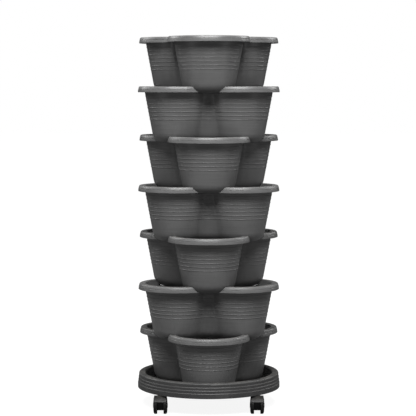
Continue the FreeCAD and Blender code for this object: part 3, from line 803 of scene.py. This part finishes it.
potLook = {
    "dark": (0.058, 0.058, 0.058, 1),
    "light": (0.074, 0.074, 0.074, 1),
    "rubbed": (0.12, 0.12, 0.12, 1),
    "dustColor": (0.2, 0.19, 0.175, 1),
    "dust": 0.16,
    "marks": 0.25,
    "markSize": 0.03,
    "roughness": (0.36, 0.5),
    "specular": 0.5,
    "bump": 0.35,
    "bumpDepth": 0.0003,
    "skin": {"Grain Size": 0.0007, "Line Height": 0.0014, "Line Share": 0.6},
}

trayLook = potLook | {
    "dark": (0.019, 0.019, 0.019, 1),
    "light": (0.025, 0.025, 0.025, 1),
    "roughness": (0.46, 0.58),
    "specular": 0.32,
}


def placeTier(form, name):
    # every other tier stands half a lobe round, which the CAD node's box tells
    low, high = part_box(name)
    turn = pot["lobeTurn"] / 2 if high.y > -low.y else 0
    piece = bpy.data.objects.new(name.replace("_", ""), form.data.copy())
    piece.data.transform(Matrix.Translation((0, 0, low.z)) @ Matrix.Rotation(turn, 4, "Z"))
    bpy.context.scene.collection.objects.link(piece)
    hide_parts(name)
    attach(piece, name.removesuffix("_pot"))


def dressNodes(part, material):
    # puts a finish on the CAD nodes that stay
    for name, node in nodes.items():
        if part in name:
            node.data.materials.clear()
            node.data.materials.append(material)


# Casters

casterLook = {
    "dark": (0.005, 0.005, 0.005, 1),
    "light": (0.008, 0.008, 0.008, 1),
    "rubbed": (0.02, 0.02, 0.02, 1),
    "dustColor": (0.16, 0.15, 0.135, 1),
    "dust": 0.14,
    "marks": 0.3,
    "markSize": 0.012,
    "roughness": (0.3, 0.42),
    "specular": 0.09,
    "bump": 0.2,
    "bumpDepth": 0.0002,
    "skin": {"Grain Size": 0.0005, "Line Height": 0.002, "Line Share": 0.2},
}

wheelLook = casterLook | {
    "rubbed": (0.03, 0.03, 0.029, 1),
    "marks": 0.5,
    "markSize": 0.008,
}

# the CAD's hoods and wheels have straight sides, which here narrow towards the tread
barrel = {
    "inner": 0.0075,  # axle's middle to a wheel's inner face, left as it is
    "radius": 0.0223,  # of the hood's fender
    "narrowing": 0.28,
}


def roundCaster(name, material):
    # a copy of the hood or wheel whose sides bulge about the axle
    caster = name[:len("caster_1")]
    wheelLow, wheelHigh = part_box(caster + "_left_wheel")
    hoodLow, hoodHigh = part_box(caster + "_hood")
    middle = (hoodLow.x + hoodHigh.x) / 2
    axle = (wheelLow + wheelHigh) / 2
    piece = bpy.data.objects.new(name.replace("_", ""), nodes[name].data.copy())
    bpy.context.scene.collection.objects.link(piece)
    # the CAD's own normals don't fit the new shape
    carried = piece.data.attributes.get("custom_normal")
    if carried:
        piece.data.attributes.remove(carried)
    weldSeams(piece)
    for vertex in piece.data.vertices:
        out = abs(vertex.co.x - middle) - barrel["inner"]
        if out > 0:
            far = math.hypot(vertex.co.y - axle.y, vertex.co.z - axle.z) / barrel["radius"]
            out *= 1 - barrel["narrowing"] * min(far, 1) ** 2
            vertex.co.x = middle + math.copysign(barrel["inner"] + out, vertex.co.x - middle)
    paint(piece, material)
    shadeByAngle(piece)
    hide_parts(name)
    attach(piece, body_of(nodes[name])[0])


steelLook = {
    "dark": (0.5, 0.5, 0.49, 1),
    "light": (0.62, 0.62, 0.62, 1),
    "roughness": (0.22, 0.42),
    "height": (0.3, 0.7),  # the grain's range that runs from glossy to dull
    "bump": 0.15,
    "bumpDepth": 0.0001,
    "skin": {"Grain Size": 0.0004, "Line Height": 0.0002, "Line Share": 0.7},
}


def makeSteel(name, look, groups):
    material, tree, shader = newMaterial(name)
    position = tree.nodes.new("ShaderNodeTexCoord").outputs["Object"]
    turned = placeGroup(tree, groups["flowGrain"], position, **look["skin"])
    plug(tree, shader.inputs["Base Color"], mixColor(tree, turned["Tone"], look["dark"], look["light"]))
    roughness = remap(tree, turned["Height"], *look["height"], *look["roughness"])
    plug(tree, shader.inputs["Roughness"], roughness)
    shader.inputs["Metallic"].default_value = 1
    addBump(tree, shader, turned["Height"], look)
    return material


# The scene

bpy.context.scene.view_settings.view_transform = "Standard"
addCamera()
addStudio()
addFloor()
print("studio ready")

groups = {"flowGrain": makeFlowGrain(), "settledDust": makeSettledDust(), "handling": makeHandling()}
potPlastic = makePlastic("potPlastic", potLook, groups)
dressNodes("rolling_tray", makePlastic("trayPlastic", trayLook, groups))
casterShell = makePlastic("casterShell", casterLook, groups)
casterWheel = makePlastic("casterWheel", wheelLook, groups)
steel = makeSteel("zincSteel", steelLook, groups)
for part in ("_stem", "_axle", "_ring"):
    dressNodes(part, steel)
print("finishes ready")

for name in sorted(nodes):
    if name.endswith("_hood"):
        roundCaster(name, casterShell)
    if name.endswith("_wheel"):
        roundCaster(name, casterWheel)
print("casters ready")

sweep = makeLobedSweepTree()
topPot = makePotForm("topPot", sweep, potPlastic, False)
stackingPot = makePotForm("stackingPot", sweep, potPlastic, True)
placeTier(topPot, tierNames[0])
for name in tierNames[1:]:
    placeTier(stackingPot, name)
removeObject(topPot)
removeObject(stackingPot)
print("pots ready:", len(tierNames))
